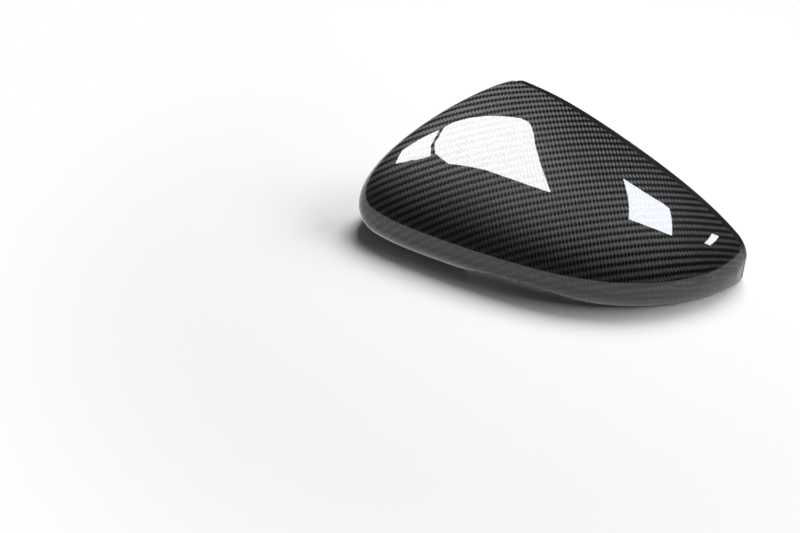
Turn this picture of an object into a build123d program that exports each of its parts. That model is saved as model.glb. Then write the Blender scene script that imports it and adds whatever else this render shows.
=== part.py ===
from build123d import *
import os
from math import cos, hypot, pi, radians, sin, sqrt, tan

# Cover of a car's wing mirror: a black moulded shell with a carbon-fibre skin bonded over it.
# X runs along the rear rim towards the pointed inner tip, Y to the rear and Z up.
# The cover stands on its lower rim, with its hollow side down and to the rear.

# Body: sections fan out from the rear rim to the front, at five even stations from tip to outer end
REAR_LENGTH = 173.0
SECTION_TURN = (5.0, 14.0, 26.0, 32.0, 38.0)
SECTION_REACH = (27.0, 98.0, 126.0, 136.5, 129.5)
SECTION_HEIGHT = (24.0, 53.0, 70.5, 80.5, 85.5)
RIM_SETBACK = (8.0, 8.0, 7.5, 3.5, 2.0)

# Shape of a section: how far the lower rim tucks under, the wall swells and the crown runs
RIM_TUCK = (6.0, 15.0, 19.5, 20.0, 20.0)
SWELL = (9.0, 11.0, 11.0, 11.0, 12.0)
WALL_RISE = (0.75, 0.62, 0.45, 0.38, 0.45)
CROWN_RUN = 0.285
CREST_SLOPE = -2.5

# Rounding where the body turns into its two end walls
OUTER_RADIUS = 18.0
CREST_RADIUS = 8.0
TIP_RADIUS = 9.0

# Laminate and moulding
SKIN = 0.9
WALL = 2.2
RIM_BORDER = 5.0
SKIN_RISE = 0.6

# Relief in the lower front rim: a smooth step up near the outer end, a flat and a smooth fall to the floor
RELIEF_START = 16.0
RELIEF_STEP = 36.0
RELIEF_FLAT = 14.0
RELIEF_FALL = 46.0
RELIEF_DEPTH = 7.2

# Return lip down the open outer edge
LIP_DEPTH = 8.0
LIP_WALL = 2.0

# Snap-clip frames inside, each a crossbar with two tapering arms and a catch between them
CLIP_PLACES = ((0.28, 0.56), (0.49, 0.61))
CLIP_TURN = 37.0
CLIP_LENGTH = 17.0
CLIP_WIDTH = 16.0
CLIP_HEIGHT = 11.0
CLIP_ARM_END = 5.0
CLIP_WALL = 1.6
CATCH_LENGTH = 5.0
CATCH_WIDTH = 7.0
CATCH_HEIGHT = 7.0

# Hook and two locating lugs on the front wall
HOOK_PLACE = (0.375, 0.30)
HOOK_WIDTH = 6.0
HOOK_HEIGHT = 8.0
HOOK_WALL = 2.0
HOOK_NOSE = 3.0
LUG_PLACES = ((0.115, 0.22), (0.315, 0.23))
LUG_LENGTH = 15.0
LUG_WIDTH = 8.0
LUG_HEIGHT = 2.0
LUG_WALL = 1.4

# How deep moulded features root in the wall, how many sections carry the body's surfaces, and how far
# behind the rear rim the body closes
ROOT = 1.2
LOFT_SPANS = 24
BODY_BACK = 50.0

STATIONS = len(SECTION_TURN) - 1


def along(values, s):
    """Smooth curve through the station values, from the tip at 0 to the outer end at 1."""
    total = 0.0
    for i, value in enumerate(values):
        weight = 1.0
        for j in range(STATIONS + 1):
            if j != i:
                weight *= (STATIONS * s - j) / (i - j)
        total += value * weight
    return total


def rounding(distance, radius):
    """How far a section draws in at a distance from an end wall with that edge radius."""
    gap = min(max(radius - distance, 0.0), radius)
    return radius - sqrt(radius * radius - gap * gap)


def rear_x(s):
    return REAR_LENGTH * (1 - s)


def direction(s):
    """Plan direction of a section, from the rear rim to the front."""
    turn = radians(along(SECTION_TURN, s))
    return -sin(turn), -cos(turn)


def front_point(s):
    """Widest point of the front wall in plan."""
    dx, dy = direction(s)
    reach = along(SECTION_REACH, s)
    return rear_x(s) + reach * dx, reach * dy


def oblique(s):
    """How much longer an inset is along the section than square to the front wall and to the crest."""
    step = 0.01
    before = max(s - step, 0.0)
    after = min(s + step, 1.0)
    (x0, y0), (x1, y1) = front_point(before), front_point(after)
    dx, dy = direction(s)
    run = hypot(x1 - x0, y1 - y0)
    front = run / abs(dx * (y1 - y0) - dy * (x1 - x0))
    rise = along(SECTION_HEIGHT, after) - along(SECTION_HEIGHT, before)
    crest = hypot(rise, rear_x(after) - rear_x(before)) / abs(rear_x(after) - rear_x(before))
    return front, crest


def section_poles(s, inset):
    """Four control points (reach, height) of a section drawn in by an inset from the outer surface."""
    turn = radians(along(SECTION_TURN, s))
    from_outer = rear_x(s) * cos(turn) - inset
    from_tip = REAR_LENGTH - rear_x(s) - inset
    front, crest = oblique(s)
    tip_in = rounding(from_tip, TIP_RADIUS - inset)
    reach = along(SECTION_REACH, s) - inset * front - tip_in - rounding(from_outer, OUTER_RADIUS - inset)
    height = along(SECTION_HEIGHT, s) - inset * crest - tip_in - rounding(from_outer, CREST_RADIUS - inset)
    setback = along(RIM_SETBACK, s)
    crown = CROWN_RUN * (reach - setback)
    return [
        (reach - along(RIM_TUCK, s), 0.0),
        (reach + along(SWELL, s), along(WALL_RISE, s) * height),
        (setback + crown, height - crown * tan(radians(CREST_SLOPE))),
        (setback, height),
    ]


def blossom(poles, a, b, c):
    """Polar form of a cubic, which gives the control points of any stretch of it."""
    points = poles
    for t in (a, b, c):
        points = [
            ((1 - t) * p[0] + t * q[0], (1 - t) * p[1] + t * q[1])
            for p, q in zip(points, points[1:])
        ]
    return points[0]


def in_section(s, reach, height):
    dx, dy = direction(s)
    return Vector(rear_x(s) + reach * dx, reach * dy, height)


def loft_stations(inset):
    """Stations of a loft, evenly phased so that they close up where the end walls round off."""
    first = inset / cos(radians(SECTION_TURN[-1]))
    run = REAR_LENGTH - inset - first
    return [
        1 - (first + run * (1 - cos(pi * k / LOFT_SPANS)) / 2) / REAR_LENGTH
        for k in range(LOFT_SPANS + 1)
    ]


def body(inset, spare):
    """The volume under the outer surface drawn in by an inset, run on past both rims by a spare share."""
    start, stop = -spare, 1 + spare / 2
    stretch = [(start,) * 3, (start, start, stop), (start, stop, stop), (stop,) * 3]
    back = -spare * BODY_BACK
    wires = []
    for s in loft_stations(inset):
        poles = section_poles(s, inset)
        ends = [blossom(poles, *t) for t in stretch]
        curve = [in_section(s, *pole) for pole in ends]
        behind = [in_section(s, back, ends[3][1]), in_section(s, back, ends[0][1])]
        closing = Wire.make_polygon([curve[-1], *behind, curve[0]], close=False)
        wires.append(Wire([Edge.make_bezier(*curve), *closing.edges()]))
    return Solid.make_loft(wires)


def envelope(border, rise):
    """Room in front of the rear rim and above the lower rim, with a border left free along each."""
    far = 2 * max(SECTION_REACH)
    rim = []
    for k in range(-1, STATIONS + 2):
        s = k / STATIONS
        dx, dy = direction(min(max(s, 0.0), 1.0))
        reach = along(RIM_SETBACK, min(max(s, 0.0), 1.0)) + border
        rim.append((rear_x(s) + reach * dx, reach * dy))
    tip_end, outer_end = rim[0], rim[-1]
    corners = [outer_end, (-far, outer_end[1]), (-far, -far), (far, -far), (far, tip_end[1]), tip_end]
    with BuildSketch(Plane.XY.offset(rise)) as plan:
        with BuildLine():
            Spline(*rim)
            Polyline(*corners)
        make_face()
    return extrude(plan.sketch, amount=far).solid()


def rim_relief(rise):
    """Cutter for the relief in the lower front rim, raised by the height at which a layer stops."""
    flat_start = RELIEF_START + RELIEF_STEP
    flat_end = flat_start + RELIEF_FLAT
    stop = flat_end + RELIEF_FALL
    top = RELIEF_DEPTH + rise
    low = -2 * RELIEF_DEPTH
    level = ((1, 0), (1, 0))
    with BuildSketch(Plane.XZ) as profile:
        with BuildLine():
            Spline((RELIEF_START, rise), (flat_start, top), tangents=level)
            Polyline((flat_start, top), (flat_end, top))
            Spline((flat_end, top), (stop, rise), tangents=level)
            Polyline((stop, rise), (stop, low), (RELIEF_START, low), (RELIEF_START, rise))
        make_face()
    return extrude(profile.sketch, amount=2 * max(SECTION_REACH)).solid()


def inner_point(s, t):
    reach, height = blossom(section_poles(s, SKIN + WALL), t, t, t)
    return in_section(s, reach, height)


def seat(place):
    """Plane on the inner surface: Z points into the hollow and X along the clip arms."""
    s, t = place
    step = 0.002
    lengthwise = inner_point(s + step, t) - inner_point(s - step, t)
    upward = inner_point(s, t + step) - inner_point(s, t - step)
    inward = upward.cross(lengthwise).normalized()
    if inward.Y < 0:
        inward = inward * -1
    arm = Vector(-sin(radians(CLIP_TURN)), -cos(radians(CLIP_TURN)), 0)
    arm = (arm - inward * arm.dot(inward)).normalized()
    return Plane(origin=inner_point(s, t), x_dir=arm, z_dir=inward)


def block(length, width, height, x=0.0, y=0.0):
    """Box standing on the seat and rooted in the wall below it."""
    low = Pos(x, y, (height - ROOT) / 2)
    return low * Box(length, width, height + ROOT)


def clip_frame(place):
    """Crossbar and two tapering arms round a catch, as one moulded snap clip."""
    half = CLIP_LENGTH / 2
    bar = block(CLIP_WALL, CLIP_WIDTH, CLIP_HEIGHT, x=CLIP_WALL / 2 - half)
    side = make_face(
        Polyline((-half, -ROOT), (half, -ROOT), (half, CLIP_ARM_END), (-half, CLIP_HEIGHT), close=True)
    )
    arm = extrude(Plane.XZ * side, amount=CLIP_WALL / 2, both=True)
    spread = (CLIP_WIDTH - CLIP_WALL) / 2
    tooth = make_face(
        Polyline(
            (half - CATCH_LENGTH, -ROOT),
            (half, -ROOT),
            (half - CATCH_LENGTH / 3, CATCH_HEIGHT),
            (half - CATCH_LENGTH, CATCH_HEIGHT * 2 / 3),
            close=True,
        )
    )
    catch = extrude(Plane.XZ * tooth, amount=CATCH_WIDTH / 2, both=True)
    frame = bar + Pos(0, spread, 0) * arm + Pos(0, -spread, 0) * arm + catch
    return seat(place) * frame


def hook(place):
    """Upright tab whose nose points to the tip side."""
    tab = block(HOOK_WALL, HOOK_WIDTH, HOOK_HEIGHT)
    nose = Box(HOOK_NOSE, HOOK_WIDTH, HOOK_WALL)
    nose_place = Pos(-(HOOK_NOSE + HOOK_WALL) / 2, 0, HOOK_HEIGHT - HOOK_WALL / 2)
    return seat(place) * (tab + nose_place * nose)


def lug(place):
    """Low three-sided rib that locates the edge of the mirror housing."""
    ends = (LUG_LENGTH - LUG_WALL) / 2
    rib = block(LUG_WALL, LUG_LENGTH, LUG_HEIGHT, x=(LUG_WALL - LUG_WIDTH) / 2)
    side = block(LUG_WIDTH, LUG_WALL, LUG_HEIGHT)
    return seat(place) * (rib + Pos(0, ends, 0) * side + Pos(0, -ends, 0) * side)


def return_lip(hollow, room):
    """Strip turned in from the open outer edge, as deep as the lip and as thick as its wall."""
    band = (hollow & room) - envelope(LIP_WALL, 0.0)
    edge = (SKIN + WALL) / cos(radians(SECTION_TURN[-1])) + LIP_DEPTH
    span = 2 * max(SECTION_REACH)
    return band & Pos(edge - span / 2, 0, 0) * Box(span, 2 * span, 2 * span)


def make_inner_shell(middle, inner):
    """Moulded shell with its features, which stop at the skin and at the relief in the rim."""
    room = envelope(0.0, 0.0)
    shell = (middle - inner) & room
    shell = shell + return_lip(inner, room)
    features = [clip_frame(place) for place in CLIP_PLACES]
    features += [lug(place) for place in LUG_PLACES]
    features.append(hook(HOOK_PLACE))
    for feature in features:
        shell = shell + (feature & middle)
    return shell - rim_relief(0.0)


def make_carbon_skin(outer, middle):
    """Laminate over the shell, clear of the rear border and of the floor under the lower rim."""
    skin = (outer - middle) & envelope(RIM_BORDER, SKIN_RISE)
    return skin - rim_relief(SKIN_RISE)


outer_body = body(0.0, 0.12)
middle_body = body(SKIN, 0.15)
inner_body = body(SKIN + WALL, 0.20)
parts = {
    "carbon_skin": make_carbon_skin(outer_body, middle_body),
    "inner_shell": make_inner_shell(middle_body, inner_body),
}

# The origin is the middle of the whole cover's box, at the lower rim
box = Compound(list(parts.values())).bounding_box()
origin = Pos(-(box.min.X + box.max.X) / 2, -(box.min.Y + box.max.Y) / 2, -box.min.Z)
os.makedirs("parts", exist_ok=True)
for name, part in parts.items():
    export_step(origin * part, f"parts/{name}.step")
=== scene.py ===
from math import cos, pi, radians, sin, tan

import bmesh
import bpy
import numpy as np
from mathutils import Matrix, Vector
from mathutils.bvhtree import BVHTree


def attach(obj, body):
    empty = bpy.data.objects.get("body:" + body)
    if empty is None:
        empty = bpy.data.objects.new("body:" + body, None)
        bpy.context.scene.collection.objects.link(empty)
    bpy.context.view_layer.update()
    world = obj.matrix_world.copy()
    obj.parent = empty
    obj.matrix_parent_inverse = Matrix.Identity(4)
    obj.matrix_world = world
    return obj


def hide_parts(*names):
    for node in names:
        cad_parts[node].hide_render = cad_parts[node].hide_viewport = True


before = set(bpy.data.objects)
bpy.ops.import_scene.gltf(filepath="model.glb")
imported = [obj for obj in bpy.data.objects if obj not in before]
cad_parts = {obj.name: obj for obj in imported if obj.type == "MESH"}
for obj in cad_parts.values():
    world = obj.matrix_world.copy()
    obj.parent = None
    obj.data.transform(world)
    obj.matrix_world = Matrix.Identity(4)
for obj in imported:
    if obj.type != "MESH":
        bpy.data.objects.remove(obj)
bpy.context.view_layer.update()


# Inner shell. The real one is injection-moulded black ABS, about 2 mm thick, and carries the whole shape.
# Its sections fan out from the rear rim: each is one curve from the lower rim over the shoulder to the crest,
# and the row of them rounds off into a flat wall at the tip and at the outer end.

MM = 0.001
REAR_LENGTH = 173.0
PLACE = (-54.79, 52.31)

# Five stations from the tip to the outer end
TURN = (5.0, 14.0, 26.0, 32.0, 38.0)
REACH = (27.0, 98.0, 126.0, 136.5, 129.5)
HEIGHT = (24.0, 53.0, 70.5, 80.5, 85.5)
SETBACK = (8.0, 8.0, 7.5, 3.5, 2.0)
TUCK = (6.0, 15.0, 19.5, 20.0, 20.0)
SWELL = (9.0, 11.0, 11.0, 11.0, 12.0)
RISE = (0.75, 0.62, 0.45, 0.38, 0.45)
CROWN_RUN = 0.285
CREST_SLOPE = radians(-2.5)
OUTER_RADIUS = 18.0
CREST_RADIUS = 8.0
TIP_RADIUS = 9.0
SKIN = 0.9
WALL = 2.2
FLOOR_GAP = 0.05

# The curve through the setbacks would dip under its last value, so it is held off it softly
LEAST_SETBACK = 2.05
SETBACK_BLEND = 2.0

# How the grid of points is numbered, spaced and merged
ROUND_OFF = 0.0001
EVEN_SHARE = 0.08
MERGE_DISTANCE = 2e-6

# The lower front rim steps up off the floor near the outer end and falls back to it
RELIEF_START = 16.0
RELIEF_STEP = 36.0
RELIEF_FLAT = 14.0
RELIEF_FALL = 46.0
RELIEF_DEPTH = 7.2


class Field:
    """A number that a node tree works out at every point."""

    def __init__(self, tree, socket):
        self.tree = tree
        self.socket = socket

    def math(self, operation, *others):
        node = self.tree.nodes.new("ShaderNodeMath")
        node.operation = operation
        for socket, value in zip(node.inputs, (self, *others)):
            if isinstance(value, Field):
                self.tree.links.new(value.socket, socket)
            else:
                socket.default_value = value
        return Field(self.tree, node.outputs[0])

    def __add__(self, other):
        return self.math("ADD", other)

    def __mul__(self, other):
        return self.math("MULTIPLY", other)

    def __sub__(self, other):
        return self.math("SUBTRACT", other)

    def __truediv__(self, other):
        return self.math("DIVIDE", other)

    def __rsub__(self, other):
        return self.math("MULTIPLY_ADD", -1.0, other)

    __radd__ = __add__
    __rmul__ = __mul__

    def clamp(self, low=0.0, high=1.0):
        return self.math("MAXIMUM", low).math("MINIMUM", high)

    def root(self):
        return self.math("MAXIMUM", 0.0).math("SQRT")


def along(values, s, slope=False):
    """Smooth curve through the station values, or its slope."""
    factors = np.polyfit(np.linspace(0, 1, len(values)), values, len(values) - 1)
    if slope:
        factors = np.polyder(factors)
    total = 0.0
    for factor in factors:
        total = s * total + float(factor)
    return total


def rounding(distance, radius):
    """How far a section draws in at a distance from an end wall with that edge radius."""
    gap = (radius - distance).math("MAXIMUM", 0.0).math("MINIMUM", radius)
    return radius - (radius * radius - gap * gap).root()


def tree_with(name, inputs):
    """Empty Geometry Nodes tree with named inputs, as a dict of fields, and its output node."""
    tree = bpy.data.node_groups.new(name, "GeometryNodeTree")
    tree.interface.new_socket("Geometry", in_out="OUTPUT", socket_type="NodeSocketGeometry")
    for label, kind in inputs:
        tree.interface.new_socket(label, in_out="INPUT", socket_type="NodeSocket" + kind)
    source = tree.nodes.new("NodeGroupInput")
    fields = {label: Field(tree, source.outputs[label]) for label, kind in inputs}
    return tree, fields, tree.nodes.new("NodeGroupOutput")


def node_in(tree, kind, links=None, **settings):
    """New node with its settings made and its inputs linked by name."""
    node = tree.nodes.new(kind)
    for name, value in settings.items():
        setattr(node, name, value)
    for name, source in (links or {}).items():
        tree.links.new(source.socket if isinstance(source, Field) else source, node.inputs[name])
    return node


def end_in(tree, geometry, material, output):
    """Last nodes of every tree: real geometry in one material."""
    real = node_in(tree, "GeometryNodeRealizeInstances", {"Geometry": geometry})
    paint = node_in(tree, "GeometryNodeSetMaterial", {"Geometry": real.outputs[0], "Material": material})
    tree.links.new(paint.outputs[0], output.inputs[0])


def layer_tree():
    """One closed layer of the cover: a grid wrapped over its outer side, its rear edge and its inner side."""
    tree, given, output = tree_with("cover layer", [
        ("Outer Inset", "Float"),
        ("Inner Inset", "Float"),
        ("Rear Border", "Float"),
        ("Lower Border", "Float"),
        ("Edge Radius", "Float"),
        ("Columns", "Int"),
        ("End Columns", "Int"),
        ("Outer Rows", "Int"),
        ("Edge Rows", "Int"),
        ("Inner Rows", "Int"),
        ("Material", "Material"),
    ])
    edge = given["Edge Radius"]
    outer_rows = given["Outer Rows"]
    edge_rows = given["Edge Rows"]
    inner_rows = given["Inner Rows"]
    ends = given["End Columns"]
    rows = outer_rows + edge_rows + edge_rows + inner_rows + 1.0
    columns = given["Columns"] + ends + ends
    grid = node_in(tree, "GeometryNodeMeshGrid", {"Vertices X": columns, "Vertices Y": rows})
    index = Field(tree, tree.nodes.new("GeometryNodeInputIndex").outputs[0])
    column = (index / rows + ROUND_OFF).math("FLOOR")
    count = index - column * rows
    row = count - (rows - 1.0) * count.math("GREATER_THAN", rows - 1.5)

    # Rows: lower edge, outer side, rear edge, inner side, and the first row again
    inner_start = outer_rows + edge_rows + edge_rows
    side = row.math("GREATER_THAN", inner_start - 0.5)
    low_turn = (1.0 - row / edge_rows).clamp() * (pi / 2)
    rear_turn = ((row - edge_rows - outer_rows + 1.0) / edge_rows).clamp() * (pi / 2) * (1.0 - side)
    climb = ((row - edge_rows) / (outer_rows - 1.0)).clamp()
    climb = climb + side * ((1.0 - (row - inner_start) / (inner_rows - 1.0)).clamp() - climb)
    eased = edge * (2.0 - low_turn.math("COSINE") - rear_turn.math("COSINE"))
    inset = given["Outer Inset"] + eased
    inset = inset + side * (given["Inner Inset"] - inset)
    border = given["Rear Border"] + edge * (1.0 - rear_turn.math("SINE")) * (1.0 - side)
    rise = given["Lower Border"] + edge * (1.0 - low_turn.math("SINE")) * (1.0 - side)

    # Columns: the flat wall at the tip, the body, and the flat wall at the outer end. On the body they crowd
    # towards its two ends, where it rounds over
    to_tip = (1.0 - column / ends).clamp()
    to_outer = ((column - ends - given["Columns"] + 1.0) / ends).clamp()
    phase = ((column - ends) / (given["Columns"] - 1.0)).clamp()
    phase = EVEN_SHARE * phase + (1 - EVEN_SHARE) / 2 * (1.0 - (phase * pi).math("COSINE"))
    first = inset / cos(radians(TURN[-1]))
    rear = first + (REAR_LENGTH - inset - first) * (1.0 - phase)
    s = 1.0 - rear / REAR_LENGTH

    # The section at this station
    turn = along([radians(v) for v in TURN], s)
    swing = along([radians(v) for v in TURN], s, slope=True)
    across, ahead = turn.math("SINE"), turn.math("COSINE")
    wide = along(REACH, s)
    widening = along(REACH, s, slope=True)
    front_x = -1.0 * (widening * across + wide * ahead * swing) - REAR_LENGTH
    front_y = wide * across * swing - widening * ahead
    front = (front_x * front_x + front_y * front_y).root()
    oblique = front / (ahead * front_x - across * front_y).math("ABSOLUTE")
    climbing = along(HEIGHT, s, slope=True) / REAR_LENGTH
    crest = (climbing * climbing + 1.0).root()
    from_outer = rear * ahead - inset
    from_tip = REAR_LENGTH - rear - inset
    tip_in = rounding(from_tip, TIP_RADIUS - inset)
    reach = wide - inset * oblique - tip_in - rounding(from_outer, OUTER_RADIUS - inset)
    height = along(HEIGHT, s) - inset * crest - tip_in - rounding(from_outer, CREST_RADIUS - inset)
    setback = along(SETBACK, s).math("SMOOTH_MAX", LEAST_SETBACK, SETBACK_BLEND)
    crown = CROWN_RUN * (reach - setback)
    low_reach = reach - along(TUCK, s)
    wall_reach = reach + along(SWELL, s)
    wall_height = along(RISE, s) * height
    crown_height = height - crown * tan(CREST_SLOPE)

    # The stretch of the section between the lower rim and the border at the rear rim, found in three rounds
    rim_x = rear - low_reach * across
    step = ((rim_x - RELIEF_START) / RELIEF_STEP).clamp()
    fall = ((rim_x - RELIEF_START - RELIEF_STEP - RELIEF_FLAT) / RELIEF_FALL).clamp()
    low = rise + RELIEF_DEPTH * (step * step * (3.0 - 2.0 * step) - fall * fall * (3.0 - 2.0 * fall))
    start = low / (3.0 * wall_height)
    stop = border / (3.0 * crown)
    for repeat in range(3):
        left = 1.0 - start
        wall_part = 3.0 * left * left * wall_height
        crown_part = 3.0 * left * start * crown_height
        start = low / (wall_part + crown_part + start * start * height)
        left = 1.0 - stop
        bulge = 3.0 * left * stop * (wall_reach - setback) + stop * stop * (low_reach - setback)
        stop = border / (3.0 * left * left * crown + bulge)
    t = start + (1.0 - stop - start) * climb
    left = 1.0 - t
    weights = (left * left * left, 3.0 * left * left * t, 3.0 * left * t * t, t * t * t)
    out = sum(w * p for w, p in zip(weights, (low_reach, wall_reach, setback + crown, setback)))
    up = sum(w * p for w, p in zip(weights[1:], (wall_height, crown_height, height)))
    to_corner = to_tip + to_outer
    out = out + to_corner * (setback + border - out)
    up = up + to_corner * (low - up)
    place = node_in(tree, "ShaderNodeCombineXYZ", {
        "X": (rear - out * across + PLACE[0]) * MM,
        "Y": (PLACE[1] - out * ahead) * MM,
        "Z": up * MM,
    })
    bent = node_in(tree, "GeometryNodeSetPosition", {
        "Geometry": grid.outputs["Mesh"],
        "Position": place.outputs[0],
    })
    end_in(tree, bent.outputs[0], given["Material"], output)
    return tree


def mesh_from(tree, name, values):
    """Plain mesh that a tree makes with these input values."""
    carrier = bpy.data.objects.new(name, bpy.data.meshes.new(name))
    bpy.context.scene.collection.objects.link(carrier)
    modifier = carrier.modifiers.new("shape", "NODES")
    modifier.node_group = tree
    for item in tree.interface.items_tree:
        if item.in_out == "INPUT":
            modifier[item.identifier] = values[item.name]
    graph = bpy.context.evaluated_depsgraph_get()
    mesh = bpy.data.meshes.new_from_object(carrier.evaluated_get(graph), depsgraph=graph)
    carrier.modifiers.remove(modifier)
    old = carrier.data
    carrier.data = mesh
    bpy.data.meshes.remove(old)
    mesh.name = name
    return carrier


def close_up(piece, angle):
    """Merges doubles, turns faces outwards and shades smooth up to an angle."""
    work = bmesh.new()
    work.from_mesh(piece.data)
    bmesh.ops.remove_doubles(work, verts=work.verts, dist=MERGE_DISTANCE)
    bmesh.ops.dissolve_degenerate(work, edges=work.edges, dist=MERGE_DISTANCE / 2)
    bmesh.ops.recalc_face_normals(work, faces=work.faces)
    if work.calc_volume(signed=True) < 0:
        bmesh.ops.reverse_faces(work, faces=work.faces)
    work.to_mesh(piece.data)
    work.free()
    piece.data.shade_smooth()
    piece.data.set_sharp_from_angle(angle=radians(angle))


def moulded_black():
    """Black ABS from a polished tool: faint mottling in the gloss and a trace of surface waviness."""
    material = bpy.data.materials.new("moulded_black")
    material.use_nodes = True
    tree = material.node_tree
    shader = tree.nodes["Principled BSDF"]
    shader.inputs["IOR"].default_value = 1.53
    where = node_in(tree, "ShaderNodeTexCoord").outputs["Object"]
    cloud = node_in(tree, "ShaderNodeTexNoise", {"Vector": where})
    cloud.inputs["Scale"].default_value = 45.0
    cloud.inputs["Detail"].default_value = 4.0
    grain = node_in(tree, "ShaderNodeTexNoise", {"Vector": where})
    grain.inputs["Scale"].default_value = 900.0
    tone = node_in(tree, "ShaderNodeValToRGB", {"Fac": cloud.outputs["Fac"]})
    tone.color_ramp.elements[0].color = (0.009, 0.009, 0.010, 1)
    tone.color_ramp.elements[1].color = (0.016, 0.016, 0.017, 1)
    tree.links.new(tone.outputs["Color"], shader.inputs["Base Color"])
    gloss = node_in(tree, "ShaderNodeMapRange", {"Value": cloud.outputs["Fac"]})
    gloss.inputs["To Min"].default_value = 0.20
    gloss.inputs["To Max"].default_value = 0.34
    tree.links.new(gloss.outputs["Result"], shader.inputs["Roughness"])
    bump = node_in(tree, "ShaderNodeBump", {"Height": grain.outputs["Fac"]})
    bump.inputs["Strength"].default_value = 0.06
    bump.inputs["Distance"].default_value = 0.0002
    tree.links.new(bump.outputs["Normal"], shader.inputs["Normal"])
    return material


abs_black = moulded_black()
cover_layer = layer_tree()
shell = mesh_from(cover_layer, "inner_shell_wall", {
    "Outer Inset": SKIN,
    "Inner Inset": SKIN + WALL,
    "Rear Border": 0.0,
    "Lower Border": FLOOR_GAP,
    "Edge Radius": 0.4,
    "Columns": 240,
    "End Columns": 14,
    "Outer Rows": 48,
    "Edge Rows": 3,
    "Inner Rows": 120,
    "Material": abs_black,
})
close_up(shell, angle=40)
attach(shell, "root")
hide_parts("inner_shell")


# Clips, hook, lugs and lip. They are moulded with the shell in one shot of black ABS: two snap-clip frames
# that grip the mirror housing, a hook and two low three-sided lugs on the front wall, and a strip turned in
# along the open outer edge.

CLIP_TURN = radians(37)
ROOT = 1.2
CLIP_SEATS = (
    ((54.1, -3.9, 41.4), (-0.306, 0.444, -0.842)),
    ((6.5, -3.8, 53.3), (-0.143, 0.480, -0.866)),
)
HOOK_SEAT = ((20.5, -35.3, 27.0), (-0.173, 0.788, -0.591))
LUG_SEATS = (
    ((90.9, -3.6, 14.5), (-0.725, 0.672, -0.150)),
    ((36.3, -35.0, 20.4), (-0.274, 0.888, -0.370)),
)
CLIP_LENGTH, CLIP_WIDTH, CLIP_HEIGHT, CLIP_ARM_END, CLIP_WALL = 17.0, 16.0, 11.0, 5.0, 1.6
CATCH_LENGTH, CATCH_WIDTH, CATCH_HEIGHT = 5.0, 7.0, 7.0
HOOK_WIDTH, HOOK_HEIGHT, HOOK_WALL, HOOK_NOSE, NOSE_STEP = 6.0, 8.0, 2.0, 3.0, 0.05
LUG_LENGTH, LUG_WIDTH, LUG_HEIGHT, LUG_WALL = 15.0, 8.0, 2.0, 1.4
LIP_START, LIP_END, LIP_REAR, LIP_FRONT = -53.5, -42.9, 50.65, 49.0
LIP_ROWS = 9
LIP_SINK = 0.5
MOULD_EDGE = 0.22

# The wall over the lip is felt for from this height, no nearer than this to the lip's outer and rear edges
FEEL_HEIGHT = 40.0
FEEL_SIDE, FEEL_REAR = 1.5, 0.5


def seat_frame(seat):
    """Frame on the inner wall: Z points into the hollow and X along the clip arms."""
    spot, inward = Vector(seat[0]), Vector(seat[1]).normalized()
    arm = Vector((-sin(CLIP_TURN), -cos(CLIP_TURN), 0))
    arm = (arm - inward * arm.dot(inward)).normalized()
    turn = Matrix((arm, inward.cross(arm), inward)).transposed()
    return Matrix.Translation(spot) @ turn.to_4x4()


def prism(work, place, outline, low, high):
    """Prism of an outline in the seat's XZ plane, between two places along Y."""
    sides = [[work.verts.new(place @ Vector((x, y, z)) * MM) for x, z in outline] for y in (low, high)]
    work.faces.new(sides[0])
    work.faces.new(sides[1][::-1])
    for k in range(len(outline)):
        work.faces.new((sides[0][k - 1], sides[0][k], sides[1][k], sides[1][k - 1]))


def bar(work, place, x, y, height, low=-ROOT):
    """Box over a span in X and a span in Y, rooted in the wall."""
    prism(work, place, ((x[0], low), (x[1], low), (x[1], height), (x[0], height)), *y)


def moulded_piece(name, build):
    """Piece in black ABS with its edges just broken."""
    work = bmesh.new()
    build(work)
    bmesh.ops.recalc_face_normals(work, faces=work.faces)
    bmesh.ops.bevel(work, geom=work.edges, offset=MOULD_EDGE * MM, segments=2, profile=0.5, affect="EDGES")
    piece = bpy.data.objects.new(name, bpy.data.meshes.new(name))
    work.to_mesh(piece.data)
    work.free()
    piece.data.materials.append(abs_black)
    piece.data.shade_smooth()
    piece.data.set_sharp_from_angle(angle=radians(50))
    bpy.context.scene.collection.objects.link(piece)
    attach(piece, "root")
    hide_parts("inner_shell")


def clips(work):
    """Frames of a back wall and two sloping arms, each with a catch between the arms' low ends."""
    half, side, thick = CLIP_LENGTH / 2, CLIP_WIDTH / 2, CLIP_WALL
    arm = ((-half, -ROOT), (half, -ROOT), (half, CLIP_ARM_END), (-half, CLIP_HEIGHT))
    near, peak = half - CATCH_LENGTH, half - CATCH_LENGTH / 3
    tooth = ((near, -ROOT), (half, -ROOT), (peak, CATCH_HEIGHT), (near, CATCH_HEIGHT * 2 / 3))
    for seat in CLIP_SEATS:
        place = seat_frame(seat)
        bar(work, place, (-half, thick - half), (-side, side), CLIP_HEIGHT)
        prism(work, place, arm, -side, thick - side)
        prism(work, place, arm, side - thick, side)
        prism(work, place, tooth, -CATCH_WIDTH / 2, CATCH_WIDTH / 2)


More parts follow.
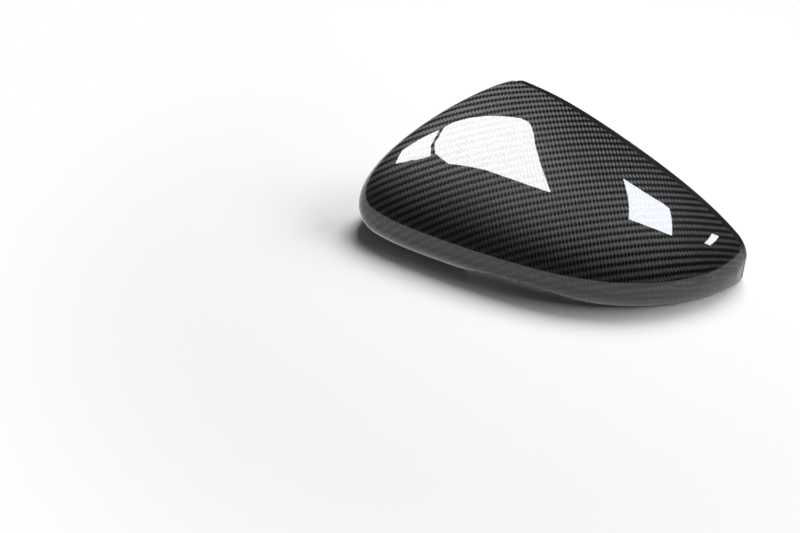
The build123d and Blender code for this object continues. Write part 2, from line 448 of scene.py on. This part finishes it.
def hook_and_lugs(work):
    """Upright with a nose at its top, and two low walls with three sides each."""
    place = seat_frame(HOOK_SEAT)
    wide = (-HOOK_WIDTH / 2, HOOK_WIDTH / 2)
    bar(work, place, (-HOOK_WALL / 2, HOOK_WALL / 2), wide, HOOK_HEIGHT)
    nose = (-HOOK_WALL / 2 - HOOK_NOSE, 0)
    bar(work, place, nose, wide, HOOK_HEIGHT - NOSE_STEP, low=HOOK_HEIGHT - HOOK_WALL)
    end, side = LUG_LENGTH / 2, LUG_WIDTH / 2
    for seat in LUG_SEATS:
        place = seat_frame(seat)
        bar(work, place, (-side, LUG_WALL - side), (-end, end), LUG_HEIGHT)
        bar(work, place, (-side, side), (-end, LUG_WALL - end), LUG_HEIGHT)
        bar(work, place, (-side, side), (end - LUG_WALL, end), LUG_HEIGHT)


def lip(work):
    """Strip along the open outer edge, from the floor up into the wall over it."""
    faces = [face.vertices for face in shell.data.polygons]
    wall = BVHTree.FromPolygons([vertex.co for vertex in shell.data.vertices], faces)
    rows = []
    for x in np.linspace(LIP_START, LIP_END, LIP_ROWS):
        tops = []
        for y in (LIP_REAR, LIP_FRONT):
            under = Vector((max(x, LIP_START + FEEL_SIDE), min(y, LIP_REAR - FEEL_REAR), FEEL_HEIGHT))
            hit = wall.ray_cast(under * MM, Vector((0, 0, 1)))[0]
            tops.append(hit.z / MM + LIP_SINK)
        spots = ((LIP_REAR, FLOOR_GAP), (LIP_FRONT, FLOOR_GAP), (LIP_FRONT, tops[1]), (LIP_REAR, tops[0]))
        rows.append([work.verts.new(Vector((x, y, z)) * MM) for y, z in spots])
    work.faces.new(rows[0])
    work.faces.new(rows[-1][::-1])
    for near, far in zip(rows, rows[1:]):
        for k in range(4):
            work.faces.new((near[k - 1], near[k], far[k], far[k - 1]))


moulded_piece("clip_frames", clips)
moulded_piece("hook_and_lugs", hook_and_lugs)
moulded_piece("return_lip", lip)


# Grid field. It is part of the shell, in the same black ABS: a patch of the mould is cut with a fine square
# grid, which stands as small raised squares on the inside of the wall.

GRID_SEAT = ((20.5, -25.5, 36.8), (-0.159, 0.618, -0.770))
GRID_TURN = radians(20)
GRID_START = 6.0


def pad_tree():
    """Square pads in rows, dropped onto a surface along one direction and turned to lie flat on it."""
    tree, given, output = tree_with("pad field", [
        ("Wall", "Object"),
        ("Start", "Vector"),
        ("Turn", "Rotation"),
        ("Way", "Vector"),
        ("Across", "Int"),
        ("Down", "Int"),
        ("Pitch", "Float"),
        ("Pad", "Vector"),
        ("Material", "Material"),
    ])
    grid = node_in(tree, "GeometryNodeMeshGrid", {
        "Vertices X": given["Across"],
        "Vertices Y": given["Down"],
        "Size X": (given["Across"] - 1.0) * given["Pitch"],
        "Size Y": (given["Down"] - 1.0) * given["Pitch"],
    })
    raised = node_in(tree, "GeometryNodeTransform", {
        "Geometry": grid.outputs["Mesh"],
        "Translation": given["Start"],
        "Rotation": given["Turn"],
    })
    wall = node_in(tree, "GeometryNodeObjectInfo", {"Object": given["Wall"]})
    drop = node_in(tree, "GeometryNodeRaycast", {
        "Target Geometry": wall.outputs["Geometry"],
        "Ray Direction": given["Way"],
    })
    lie = node_in(tree, "FunctionNodeAlignRotationToVector", {
        "Rotation": given["Turn"],
        "Vector": drop.outputs["Hit Normal"],
    }, axis="Z")
    keep = node_in(tree, "GeometryNodeStoreNamedAttribute", {
        "Geometry": raised.outputs[0],
        "Value": lie.outputs[0],
    }, data_type="QUATERNION", domain="POINT")
    keep.inputs["Name"].default_value = "lie"
    landed = node_in(tree, "GeometryNodeSetPosition", {
        "Geometry": keep.outputs[0],
        "Position": drop.outputs["Hit Position"],
    })
    kept = node_in(tree, "GeometryNodeInputNamedAttribute", data_type="QUATERNION")
    kept.inputs["Name"].default_value = "lie"
    pad = node_in(tree, "GeometryNodeMeshCube", {"Size": given["Pad"]})
    pads = node_in(tree, "GeometryNodeInstanceOnPoints", {
        "Points": landed.outputs[0],
        "Instance": pad.outputs["Mesh"],
        "Rotation": kept.outputs["Attribute"],
    })
    end_in(tree, pads.outputs[0], given["Material"], output)
    return tree


grid_frame = seat_frame(GRID_SEAT) @ Matrix.Rotation(GRID_TURN, 4, "Z")
grid_field = mesh_from(pad_tree(), "grid_field", {
    "Wall": shell,
    "Start": (grid_frame @ Vector((0, 0, GRID_START))) * MM,
    "Turn": grid_frame.to_euler(),
    "Way": -grid_frame.col[2].xyz,
    "Across": 12,
    "Down": 14,
    "Pitch": 1.9 * MM,
    "Pad": Vector((1.5, 1.5, 0.3)) * MM,
    "Material": abs_black,
})
close_up(grid_field, angle=30)
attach(grid_field, "root")
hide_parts("inner_shell")


# Carbon skin. The real one is a 2 by 2 twill of flat carbon tows in resin: one sheet over the body and a
# straight piece on each flat end wall, bonded to the shell and polished under a thick clear coat. It stops
# short of the rear rim and of the floor.

RIM_BORDER = 5.0
SKIN_RISE = 0.6
FACE_INSET = 0.08
BOND_GAP = 0.05
SKIN_COLUMNS = 320
SKIN_ENDS = 16
SKIN_EDGE = 3
SKIN_ROWS = 150
SKIN_BACK = 36

# The cloth is laid out flat on this many columns and rows, by springs
LAYOUT_COLUMNS = 56
LAYOUT_ROWS = 30
SPRING_ROUNDS = 1500
SPRING_STRIDE = 1.4

# Tows counted along and across the cover, as factors of a place u, v on the flat cloth in mm, and of u u, u v
# and v v, which close the tows up and open them out as the cloth shears
DRAPE_U = (0.68, -0.063, 0.00019, 0.00025, -0.00031)
DRAPE_V = (0.02, 0.72, -0.00012, 0.00033, 0.00023)

# The stretch along the cover, in metres, where the light tows' painted sheen parts into beads, and how far
# and how fast they part
BEAD_LEVEL, BEAD_CONTRAST = 0.45, 2.0
BEAD_MIDDLE, BEAD_HALF = 0.01, 0.02
LEAST_PARTED, MOST_PARTED, PARTING = 0.25, 0.85, 11.0

# A dark tow's flat middle, how it falls off across and along the tow, and the painted gleam around it
DARK_FILL, DARK_ACROSS, DARK_ALONG, PAINTED_GLEAM = 2.4, 3.4, 0.85, 0.05

# Fibres across a tow, and how far apart the two sets of tows are in their noise
FIBRES, SETS_APART = 18.0, 9.0

# The light tows' painted sheen: its share over the dark tows', how it slopes along and across the cover, and
# where that sets in
SHARE, SHARE_ALONG, SHARE_ACROSS = 0.1, -2.7, -9.0
ACROSS_START, ACROSS_RUN = -0.06, 0.06
LEAST_SHARE, MOST_SHARE = -0.42, 0.05

# The light painted on the tows falls towards the rear rim at the tip and rises towards the outer end
PAINTED_LIGHT = 0.78
TIP_FALL, TIP_START, TIP_RUN = 3.4, 0.01, 0.1
REAR_START, REAR_RUN = -0.03, 0.05
OUTER_RISE, OUTER_START, OUTER_RUN = 11.0, -0.04, 0.05


def relax(flat, points):
    """Draws a flat layout of surface points towards their real spacing, by springs on edges and diagonals."""
    rests = []
    for a, b in ((1, 0), (0, 1), (1, 1), (1, -1)):
        here = (slice(0, points.shape[0] - a), slice(max(0, -b), points.shape[1] - max(0, b)))
        there = (slice(a, None), slice(max(0, b), points.shape[1] + min(0, b)))
        rests.append((here, there, np.linalg.norm(points[there] - points[here], axis=2)))
    for repeat in range(SPRING_ROUNDS):
        push = np.zeros_like(flat)
        count = np.zeros(flat.shape[:2])
        for here, there, rest in rests:
            gap = flat[there] - flat[here]
            length = np.maximum(np.linalg.norm(gap, axis=2), 1e-9)
            pull = (0.5 * (1 - rest / length))[:, :, None] * gap
            push[here] += pull
            push[there] -= pull
            count[here] += 1
            count[there] += 1
        flat = flat + SPRING_STRIDE * push / count[:, :, None]
    return flat


def lay_body(points):
    """Lays the body's cloth out flat, from the crest down along the fanned sections."""
    along_crest = np.r_[0.0, np.cumsum(np.linalg.norm(np.diff(points[:, -1], axis=0), axis=1))]
    down = np.linalg.norm(np.diff(points[:, ::-1], axis=1), axis=2)
    down = np.concatenate([np.zeros((len(points), 1)), np.cumsum(down, axis=1)], axis=1)[:, ::-1]
    fan = points[:, 0, :2] - points[:, -1, :2]
    fan /= np.maximum(np.linalg.norm(fan, axis=1), 1e-9)[:, None]
    flat = np.stack([-along_crest[:, None] + fan[:, 0, None] * down, fan[:, 1, None] * down], axis=2)
    return relax(flat, points)


def lay_wall(points, body):
    """Lays the cloth straight on a flat end wall, turned to meet the two last columns of the body's cloth."""
    middle = points.mean(axis=(0, 1))
    axes = np.linalg.svd((points - middle).reshape(-1, 3), full_matrices=False)[2]
    plane = (points - middle) @ axes[0] + 1j * ((points - middle) @ axes[1])
    edge = body[..., 0] + 1j * body[..., 1]
    onward = np.sum(np.diff(edge[1]) * np.conj(edge[1] - edge[0])[1:]).imag
    if onward * np.sum(np.diff(plane[0]) * np.conj(plane[1] - plane[0])[1:]).imag < 0:
        plane = np.conj(plane)
    turn = np.sum((edge[1] - edge[1].mean()) * np.conj(plane[0] - plane[0].mean()))
    plane = (plane - plane[0].mean()) * turn / abs(turn) + edge[1].mean()
    return np.stack([plane.real, plane.imag], axis=2)


def refine(values, old, new):
    """Smooth curve through values at the old places, along the first axis, read off at the new ones."""
    slope = np.gradient(values, old, axis=0)
    cell = np.clip(np.searchsorted(old, new, side="right") - 1, 0, len(old) - 2)
    width = (old[cell + 1] - old[cell])[:, None, None]
    f = ((new - old[cell]) / (old[cell + 1] - old[cell]))[:, None, None]
    start, stop = values[cell], values[cell + 1]
    rise, fall = slope[cell] * width, slope[cell + 1] * width
    return (start * (1 + 2 * f) * (1 - f) ** 2 + rise * f * (1 - f) ** 2
            + stop * f * f * (3 - 2 * f) + fall * f * f * (f - 1))


def twill_laminate():
    """Twill of light and dark tows, each rounded and dipping under at its ends, deep in a clear coat. The
    tows' sheen, the shade on their sides and ends, and the light across the cover are painted into the
    colour.
    """
    material = bpy.data.materials.new("twill_laminate")
    material.use_nodes = True
    tree = material.node_tree
    shader = tree.nodes["Principled BSDF"]
    shader.inputs["IOR"].default_value = 1.45
    shader.inputs["Specular IOR Level"].default_value = 0.12
    shader.inputs["Metallic"].default_value = 0.05
    shader.inputs["Coat Weight"].default_value = 1.0
    shader.inputs["Coat Roughness"].default_value = 0.02
    shader.inputs["Coat IOR"].default_value = 1.6
    cloth = node_in(tree, "ShaderNodeUVMap", uv_map="weave")
    split = node_in(tree, "ShaderNodeSeparateXYZ", {"Vector": cloth.outputs["UV"]})
    u = Field(tree, split.outputs["X"])
    v = Field(tree, split.outputs["Y"])
    i, j = u.math("FLOOR"), v.math("FLOOR")
    step = (i - j).math("FLOORED_MODULO", 4.0)
    warp = step.math("LESS_THAN", 1.5)

    # Place across a tow, and along the two cells that it floats over
    across_weft = v - j - 0.5
    across_warp = u - i - 0.5
    across = across_weft + warp * (across_warp - across_weft)
    along_weft = (u - i + step - 2.0) * 0.5
    along_warp = (v - j + 1.0 - step) * 0.5
    far = along_weft + warp * (along_warp - along_weft)
    # round_over and dip paint shade on each tow's rounded sides and where it dips under at its ends; they
    # also shape the bump
    round_over = 1.0 - 4.0 * across * across
    middle = (far - 0.5) * 2.0
    dip = 1.0 - middle.math("ABSOLUTE").math("POWER", 3.0)
    height = round_over.root() * dip

    # One set of tows is painted as catching the light and the other as staying dark, in shares of painted
    # sheen that shift as the cloth turns
    where = node_in(tree, "ShaderNodeTexCoord").outputs["Object"]
    spot = node_in(tree, "ShaderNodeSeparateXYZ", {"Vector": where})
    x = Field(tree, spot.outputs["X"])
    y = Field(tree, spot.outputs["Y"])
    sloped = SHARE_ACROSS * y * ((x - ACROSS_START) / ACROSS_RUN).clamp()
    share = (SHARE + SHARE_ALONG * x + sloped).clamp(LEAST_SHARE, MOST_SHARE)

    # In the middle of the cover the light tows' painted sheen parts into beads, where two waves cross
    waves = ((u + v - 0.5) * pi).math("COSINE") + ((u - v - 0.5) * (pi / 2)).math("COSINE")
    beads = (BEAD_LEVEL + BEAD_CONTRAST * (share - 0.5 * waves)).clamp()

    # Towards its ends they join into stripes, with painted shade on the light tows' sides and ends, and the
    # dark tows keep a faint painted gleam around their edge
    light_tow = (0.7 + 0.3 * round_over) * (0.65 + 0.35 * dip) * (1.0 + share)
    oval = (1.0 - (across * across * DARK_ACROSS + middle * middle * DARK_ALONG)).clamp()
    dark_tow = PAINTED_GLEAM - PAINTED_GLEAM * (oval * DARK_FILL).clamp()
    stripes = light_tow + warp * (dark_tow - light_tow)
    beyond = ((x - BEAD_MIDDLE).math("ABSOLUTE") - BEAD_HALF).math("MAXIMUM", 0.0)
    parted = (MOST_PARTED - PARTING * beyond).clamp(LEAST_PARTED, MOST_PARTED)
    catch = (stripes + parted * (beads - stripes)).clamp()

    # Tows differ a little from each other, and fibres run along them
    name = node_in(tree, "ShaderNodeCombineXYZ", {"X": i * warp, "Y": j * (1.0 - warp), "Z": warp})
    tow = Field(tree, node_in(tree, "ShaderNodeTexWhiteNoise", {"Vector": name.outputs[0]}).outputs["Value"])
    stretch = node_in(tree, "ShaderNodeCombineXYZ", {
        "X": u * (1.0 + (FIBRES - 1) * warp),
        "Y": v * (FIBRES - (FIBRES - 1) * warp),
        "Z": warp * SETS_APART,
    })
    streaks = node_in(tree, "ShaderNodeTexNoise", {"Vector": stretch.outputs[0]})
    streaks.inputs["Scale"].default_value = 1.0
    streaks.inputs["Detail"].default_value = 2.0
    fibre = Field(tree, streaks.outputs["Fac"])

    # All of it under the light painted in for this place, with painted shade again on the tows' rounded sides
    to_tip = (x - TIP_START).clamp(0.0, TIP_RUN) * ((y - REAR_START) / REAR_RUN).clamp()
    to_outer = (OUTER_START - x).clamp(0.0, OUTER_RUN)
    light = PAINTED_LIGHT - TIP_FALL * to_tip + OUTER_RISE * to_outer
    light = catch * light * (0.85 + 0.15 * round_over) * (0.88 + 0.24 * tow) * (0.75 + 0.5 * fibre)
    ramp = node_in(tree, "ShaderNodeValToRGB", {"Fac": light})
    ramp.color_ramp.elements[0].color = (0.003, 0.003, 0.004, 1)
    ramp.color_ramp.elements[1].color = (0.255, 0.251, 0.245, 1)
    tree.links.new(ramp.outputs["Color"], shader.inputs["Base Color"])
    tree.links.new((0.34 + 0.2 * fibre).socket, shader.inputs["Roughness"])
    bump = node_in(tree, "ShaderNodeBump", {"Height": height + 0.12 * fibre})
    bump.inputs["Strength"].default_value = 0.35
    bump.inputs["Distance"].default_value = 0.00012
    tree.links.new(bump.outputs["Normal"], shader.inputs["Normal"])
    return material


laminate = twill_laminate()
skin = mesh_from(cover_layer, "carbon_skin_laminate", {
    "Outer Inset": FACE_INSET,
    "Inner Inset": SKIN - BOND_GAP,
    "Rear Border": RIM_BORDER,
    "Lower Border": SKIN_RISE,
    "Edge Radius": 0.3,
    "Columns": SKIN_COLUMNS,
    "End Columns": SKIN_ENDS,
    "Outer Rows": SKIN_ROWS,
    "Edge Rows": SKIN_EDGE,
    "Inner Rows": SKIN_BACK,
    "Material": laminate,
})

# The body's cloth is laid out on a coarse pick of its grid and refined to all of it, and the walls' is added
column_count = SKIN_COLUMNS + 2 * SKIN_ENDS
row_count = SKIN_ROWS + 2 * SKIN_EDGE + SKIN_BACK + 1
spots = np.empty(len(skin.data.vertices) * 3)
skin.data.vertices.foreach_get("co", spots)
spots = spots.reshape(column_count, row_count, 3) / MM
face = spots[SKIN_ENDS:SKIN_ENDS + SKIN_COLUMNS, SKIN_EDGE:SKIN_EDGE + SKIN_ROWS]
gaps = np.linalg.norm(np.diff(face[:, SKIN_ROWS // 2], axis=0), axis=1)
run = np.r_[0.0, np.cumsum(gaps)]
columns_picked = np.searchsorted(run, np.linspace(0, run[-1], LAYOUT_COLUMNS)).clip(0, SKIN_COLUMNS - 1)
columns_picked = np.unique(columns_picked)
rows_picked = np.unique(np.linspace(0, SKIN_ROWS - 1, LAYOUT_ROWS).round().astype(int))
every_row = np.arange(SKIN_ROWS, dtype=float)
flat = refine(lay_body(face[columns_picked][:, rows_picked]), run[columns_picked], run)
flat = refine(flat.swapaxes(0, 1), rows_picked.astype(float), every_row).swapaxes(0, 1)
outer_side = spots[:, SKIN_EDGE:SKIN_EDGE + SKIN_ROWS]
last = SKIN_ENDS + SKIN_COLUMNS - 1
tip_cloth = lay_wall(outer_side[SKIN_ENDS::-1], flat[[1, 0]])[::-1]
end_cloth = lay_wall(outer_side[last:], flat[[-2, -1]])
rows_of = np.clip(np.arange(row_count) - SKIN_EDGE, 0, SKIN_ROWS - 1)
rows_of[SKIN_ROWS + 2 * SKIN_EDGE:] = SKIN_ROWS - 1
u, v = np.concatenate([tip_cloth, flat, end_cloth])[:, rows_of].reshape(-1, 2).T
terms = np.stack([u, v, u * u, u * v, v * v])
pattern = np.stack([np.tensordot(DRAPE_U, terms, 1), np.tensordot(DRAPE_V, terms, 1)], axis=1)

# The body's and a wall's cloth meet in one column of points, so each face takes its own side's
corners = np.empty(len(skin.data.loops), dtype=np.int32)
skin.data.loops.foreach_get("vertex_index", corners)
cells = (corners // row_count).reshape(-1, 4)
sheet = 1 + (cells.max(axis=1) > last).astype(int) - (cells.min(axis=1) < SKIN_ENDS)
weave = skin.data.uv_layers.new(name="weave")
weave.data.foreach_set("uv", pattern[corners + np.repeat(sheet, 4) * row_count].astype(np.float32).ravel())
close_up(skin, angle=40)
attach(skin, "root")
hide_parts("carbon_skin")


# Table and light. The cover stands on a plain white table. Large diffusers hang level above it and show as
# clean-edged patches in its clear coat. Two broad soft lamps behind it light the table and the weave.

PANEL_HEIGHT = 1.1
PANEL_STRENGTH = 15.8
NEUTRAL, COOL, WARM = (1.0, 1.0, 1.0), (0.98, 1.02, 1.10), (1.0, 0.99, 0.94)

# Each panel's tint and its outline, in metres from the cover's middle
PANELS = {
    "main_panel": (NEUTRAL, (
        (-0.468, -0.426), (-0.343, -0.323), (-0.246, -0.263), (-0.113, -0.190), (-0.160, -0.090),
        (-0.188, -0.005), (-0.202, 0.054), (-0.220, 0.100), (-0.238, 0.125), (-0.264, 0.121),
        (-0.301, 0.084), (-0.347, 0.035), (-0.382, -0.001), (-0.401, -0.019), (-0.467, -0.040),
        (-0.547, -0.061), (-0.604, -0.090), (-0.615, -0.122), (-0.572, -0.222), (-0.546, -0.327),
        (-0.530, -0.390), (-0.496, -0.409))),
    "outer_panel": (NEUTRAL, (
        (-1.188, -0.487), (-0.866, -0.526), (-0.672, -0.517), (-0.607, -0.469), (-0.556, -0.424),
        (-0.567, -0.360), (-0.611, -0.237), (-0.656, -0.124), (-0.785, -0.146), (-0.936, -0.172),
        (-1.088, -0.188), (-1.290, -0.205), (-1.239, -0.376))),
    "tip_panel": (COOL, (
        (0.211, 0.223), (0.262, 0.157), (0.292, 0.104), (0.331, 0.014), (0.532, 0.099),
        (0.731, 0.176), (0.611, 0.323), (0.551, 0.384), (0.495, 0.365), (0.356, 0.289))),
    "far_panel": (WARM, ((1.172, 0.440), (1.301, 0.496), (1.209, 0.769), (1.092, 0.684))),
}
for name, (tint, outline) in PANELS.items():
    glow = bpy.data.materials.new(name)
    glow.use_nodes = True
    glow.node_tree.nodes.remove(glow.node_tree.nodes["Principled BSDF"])
    shine = node_in(glow.node_tree, "ShaderNodeEmission")
    shine.inputs["Color"].default_value = (*tint, 1)
    shine.inputs["Strength"].default_value = PANEL_STRENGTH
    glow.node_tree.links.new(shine.outputs[0], glow.node_tree.nodes["Material Output"].inputs["Surface"])
    panel_mesh = bpy.data.meshes.new(name)
    panel_mesh.from_pydata([(x, y, PANEL_HEIGHT) for x, y in outline], [], [tuple(range(len(outline)))])
    panel_mesh.materials.append(glow)
    panel = bpy.data.objects.new(name, panel_mesh)
    panel.visible_diffuse = False
    panel.visible_camera = False
    bpy.context.scene.collection.objects.link(panel)

# The soft lamps, as azimuth, elevation, width, height and light level
LAMP_DISTANCE = 4.0
LAMPS = {
    "rear_lamp": (radians(-8), radians(50), 2.6, 1.4, 3.30),
    "side_lamp": (radians(50), radians(36), 2.6, 1.5, 2.25),
}
for name, (azimuth, elevation, width, height, level) in LAMPS.items():
    way = Vector((sin(azimuth) * cos(elevation), cos(azimuth) * cos(elevation), sin(elevation)))
    light = bpy.data.lights.new(name, "AREA")
    light.shape = "RECTANGLE"
    light.size = width
    light.size_y = height
    light.energy = level * pi * LAMP_DISTANCE ** 2
    lamp = bpy.data.objects.new(name, light)
    lamp.location = way * LAMP_DISTANCE
    lamp.rotation_euler = way.to_track_quat("Z", "Y").to_euler()
    lamp.visible_glossy = False
    bpy.context.scene.collection.objects.link(lamp)

# The table takes the shadows close to the cover and fades to plain white beyond. Reflections see it whiter,
# it throws little light back on the cover, and from below it is clear
TABLE_HALF = 4.0
SHADOW_RADIUS, SHADOW_FADE = 0.19, 0.20
REFLECTED_WHITE = 0.6
floor_mesh = bpy.data.meshes.new("table")
floor_corners = [(x * TABLE_HALF, y * TABLE_HALF, 0) for x, y in ((-1, -1), (1, -1), (1, 1), (-1, 1))]
floor_mesh.from_pydata(floor_corners, [], [(0, 1, 2, 3)])
floor = bpy.data.objects.new("table", floor_mesh)
bpy.context.scene.collection.objects.link(floor)
table_white = bpy.data.materials.new("table_white")
table_white.use_nodes = True
table_tree = table_white.node_tree
table_shader = table_tree.nodes["Principled BSDF"]
table_shader.inputs["Base Color"].default_value = (0.86, 0.86, 0.86, 1)
table_shader.inputs["Roughness"].default_value = 0.7
table_shader.inputs["Specular IOR Level"].default_value = 0.1
dim = node_in(table_tree, "ShaderNodeBsdfDiffuse")
dim.inputs["Color"].default_value = (0.05, 0.05, 0.05, 1)
lift = node_in(table_tree, "ShaderNodeEmission")
on_table = node_in(table_tree, "ShaderNodeTexCoord").outputs["Object"]
radius = node_in(table_tree, "ShaderNodeVectorMath", {"Vector": on_table}, operation="LENGTH")
fade = ((Field(table_tree, radius.outputs["Value"]) - SHADOW_RADIUS) / SHADOW_FADE).clamp()
path = node_in(table_tree, "ShaderNodeLightPath")
glossy = Field(table_tree, path.outputs["Is Glossy Ray"])
whiteness = (fade * fade * (3.0 - 2.0 * fade) + REFLECTED_WHITE * glossy).clamp()
white = node_in(table_tree, "ShaderNodeMixShader", {"Fac": whiteness})
table_tree.links.new(table_shader.outputs[0], white.inputs[1])
table_tree.links.new(lift.outputs[0], white.inputs[2])
seen = Field(table_tree, path.outputs["Is Camera Ray"]) + glossy
seen = (seen + Field(table_tree, path.outputs["Is Transmission Ray"])).clamp()
blend = node_in(table_tree, "ShaderNodeMixShader", {"Fac": seen})
table_tree.links.new(dim.outputs[0], blend.inputs[1])
table_tree.links.new(white.outputs[0], blend.inputs[2])
below = node_in(table_tree, "ShaderNodeNewGeometry").outputs["Backfacing"]
top_only = node_in(table_tree, "ShaderNodeMixShader", {"Fac": below})
table_tree.links.new(blend.outputs[0], top_only.inputs[1])
table_tree.links.new(node_in(table_tree, "ShaderNodeBsdfTransparent").outputs[0], top_only.inputs[2])
table_tree.links.new(top_only.outputs[0], table_tree.nodes["Material Output"].inputs["Surface"])
floor_mesh.materials.append(table_white)

# The room is white to the camera, through the table as well, and dim to everything else
ROOM_LEVEL = 0.035
world = bpy.data.worlds.new("room")
world.use_nodes = True
bpy.context.scene.world = world
sky = world.node_tree
room = sky.nodes["Background"]
room.inputs["Color"].default_value = (1, 1, 1, 1)
path = node_in(sky, "ShaderNodeLightPath")
seen = Field(sky, path.outputs["Is Camera Ray"]) + Field(sky, path.outputs["Is Transmission Ray"])
sky.links.new((seen.clamp() * (1 - ROOM_LEVEL) + ROOM_LEVEL).socket, room.inputs["Strength"])


# Camera. The photo looks down on the cover from the front, towards the tip side.

AIM = Vector((-0.0668, -0.0641, 0.0))
AZIMUTH = radians(33.42)
ELEVATION = radians(38.43)
DISTANCE = 0.8309
back = Vector((sin(AZIMUTH) * cos(ELEVATION), -cos(AZIMUTH) * cos(ELEVATION), sin(ELEVATION)))
lens = bpy.data.cameras.new("camera")
lens.sensor_fit = "HORIZONTAL"
lens.sensor_width = 36.0
lens.lens = 59.6
camera = bpy.data.objects.new("camera", lens)
camera.location = AIM + back * DISTANCE
camera.rotation_euler = back.to_track_quat("Z", "Y").to_euler()
bpy.context.scene.collection.objects.link(camera)
bpy.context.scene.camera = camera
bpy.context.scene.view_settings.view_transform = "Standard"
